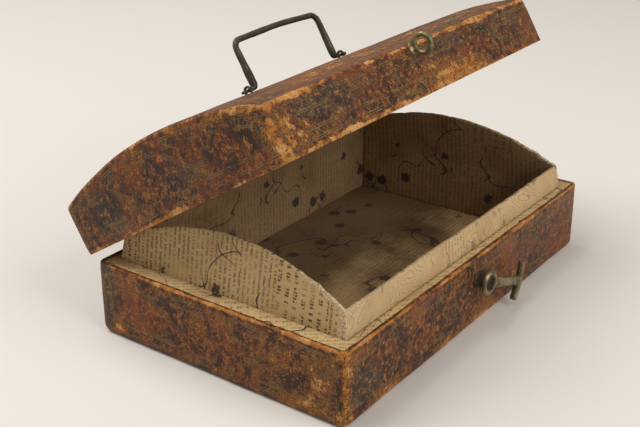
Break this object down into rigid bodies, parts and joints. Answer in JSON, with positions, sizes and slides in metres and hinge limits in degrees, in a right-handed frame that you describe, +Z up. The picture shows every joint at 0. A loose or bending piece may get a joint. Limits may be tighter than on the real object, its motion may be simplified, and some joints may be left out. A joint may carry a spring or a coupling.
{
  "type": "hinged storage box",
  "caption": "Small leather-covered wooden box with a barrel lid, wire bail handle, brass hook and eye, and a paper-lined inside.",
  "frame": {"origin": "middle of the underside of the case, on the surface it stands on", "axes": "+X to the right seen from the front, -Y out of the front with the hook, +Z up"},
  "size_m": [0.3, 0.2273, 0.1898],
  "materials": {
    "case_leather": "aged, tooled, worn to tan along the edges",
    "lid_leather": "aged, tooled, worn to tan along the edges",
    "wood": "plain softwood board",
    "printed_paper": "aged waste paper with unreadable marks",
    "iron_wire": "dark, hand-worked",
    "iron_nails": "dark",
    "brass": "dull, tarnished"
  },
  "bodies": {
    "case": {"bottom_nails": "iron_nails", "case_back_board": "wood", "case_bottom_board": "wood", "case_cover_back": "case_leather", "case_cover_front": "case_leather", "case_cover_left": "case_leather", "case_cover_right": "case_leather", "case_cover_underside": "case_leather", "case_front_board": "wood", "case_hinge_eye_left": "iron_wire", "case_hinge_eye_right": "iron_wire", "case_left_end_board": "wood", "case_nails": "iron_nails", "case_right_end_board": "wood", "hook_pivot": "brass", "ledge_paper_back": "printed_paper", "ledge_paper_front": "printed_paper", "ledge_paper_left": "printed_paper", "ledge_paper_right": "printed_paper", "liner_back_wall": "printed_paper", "liner_floor": "printed_paper", "liner_front_wall": "printed_paper", "liner_left_wall": "printed_paper", "liner_right_wall": "printed_paper"},
    "lid": {"catch_eye": "brass", "catch_rose": "brass", "handle_staple_left": "iron_wire", "handle_staple_right": "iron_wire", "lid_back_board": "wood", "lid_cover_back": "lid_leather", "lid_cover_front": "lid_leather", "lid_cover_left": "lid_leather", "lid_cover_right": "lid_leather", "lid_cover_top": "lid_leather", "lid_front_board": "wood", "lid_hinge_link_left": "iron_wire", "lid_hinge_link_right": "iron_wire", "lid_left_end_board": "wood", "lid_lining": "printed_paper", "lid_nails": "iron_nails", "lid_right_end_board": "wood", "lid_top_board": "wood"},
    "handle": {"handle_bail": "iron_wire"},
    "hook": {"hook_arm": "brass"}
  },
  "joints": [
    {"name": "lid_hinge", "type": "hinge", "parent": "case", "child": "lid", "pos_m": [0, 0.101, 0.037], "axis": [-1, 0, 0], "range_deg": [-32, 73]},
    {"name": "handle_pivot", "type": "hinge", "parent": "lid", "child": "handle", "pos_m": [0, 0.04969, 0.14547], "axis": [1, 0, 0], "range_deg": [-85, 85]},
    {"name": "hook_pivot_turn", "type": "hinge", "parent": "case", "child": "hook", "pos_m": [0, -0.104, 0.0329], "axis": [0, -1, 0], "range_deg": [0, 106]}
  ]
}
